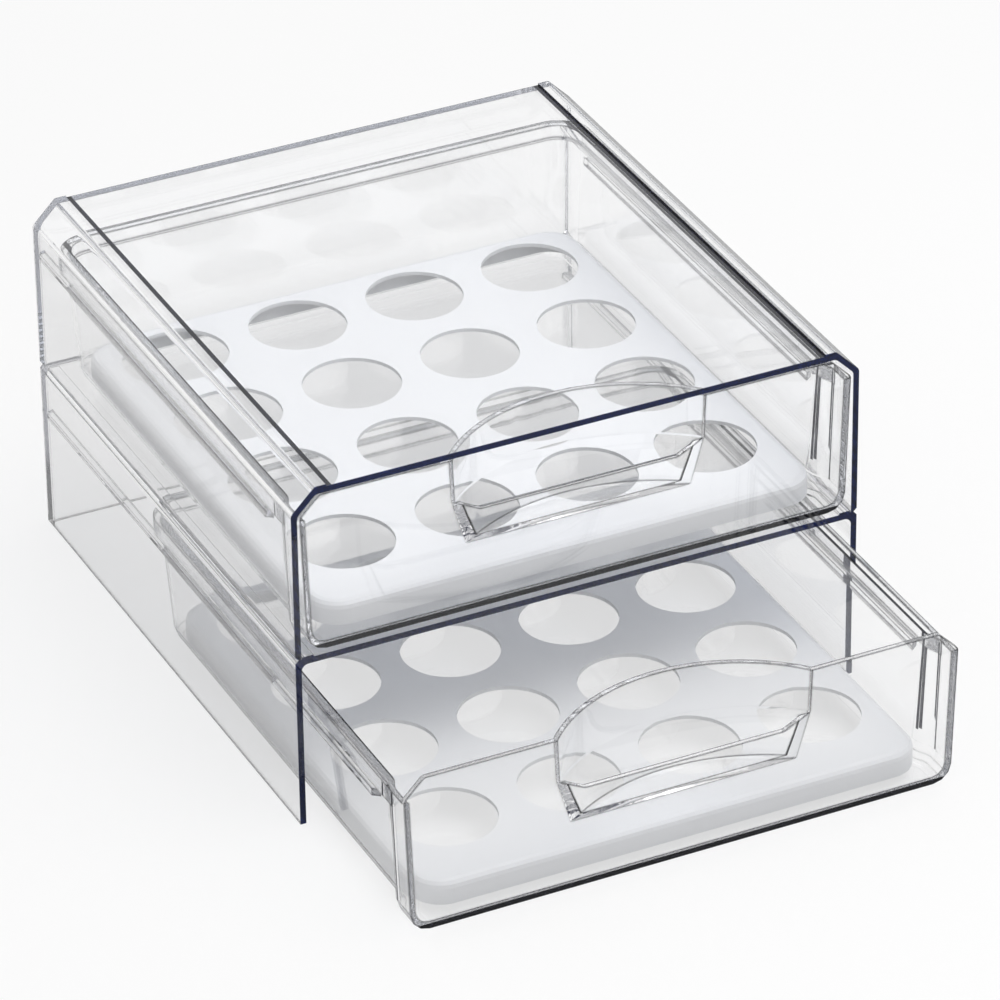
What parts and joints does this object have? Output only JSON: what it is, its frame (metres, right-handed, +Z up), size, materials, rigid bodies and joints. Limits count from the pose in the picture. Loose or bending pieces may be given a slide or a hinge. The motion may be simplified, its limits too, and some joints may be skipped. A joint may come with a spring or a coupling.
{
  "type": "egg storage box",
  "caption": "Clear two-tier egg keeper: stacked open-front housings, sliding drawers with curved finger pulls and loose white cup trays for a refrigerator shelf.",
  "frame": {"origin": "bottom centre of the box around the keeper as it stands at rest, with the lower drawer drawn out", "axes": "+X to the right of someone facing the drawers, +Y from the drawer fronts to the back, +Z up"},
  "size_m": [0.24, 0.338, 0.148],
  "materials": {
    "housing_clear": "clear, polished",
    "drawer_clear": "clear, polished",
    "tray_white": "white, satin"
  },
  "bodies": {
    "upper_housing": {"upper_housing": "housing_clear"},
    "lower_housing": {"lower_housing": "housing_clear"},
    "upper_drawer": {"upper_drawer": "drawer_clear"},
    "lower_drawer": {"lower_drawer": "drawer_clear"},
    "upper_tray": {"upper_tray": "tray_white"},
    "lower_tray": {"lower_tray": "tray_white"}
  },
  "joints": [
    {"name": "upper_housing_lift", "type": "slide", "parent": "lower_housing", "child": "upper_housing", "axis": [0, 0, 1], "range_m": [0, 0.09]},
    {"name": "upper_drawer_slide", "type": "slide", "parent": "upper_housing", "child": "upper_drawer", "axis": [0, -1, 0], "range_m": [0, 0.17]},
    {"name": "lower_drawer_slide", "type": "slide", "parent": "lower_housing", "child": "lower_drawer", "axis": [0, -1, 0], "range_m": [-0.088, 0.082]},
    {"name": "upper_tray_lift", "type": "slide", "parent": "upper_drawer", "child": "upper_tray", "axis": [0, 0, 1], "range_m": [0, 0.012]},
    {"name": "lower_tray_lift", "type": "slide", "parent": "lower_drawer", "child": "lower_tray", "axis": [0, 0, 1], "range_m": [0, 0.012]}
  ]
}
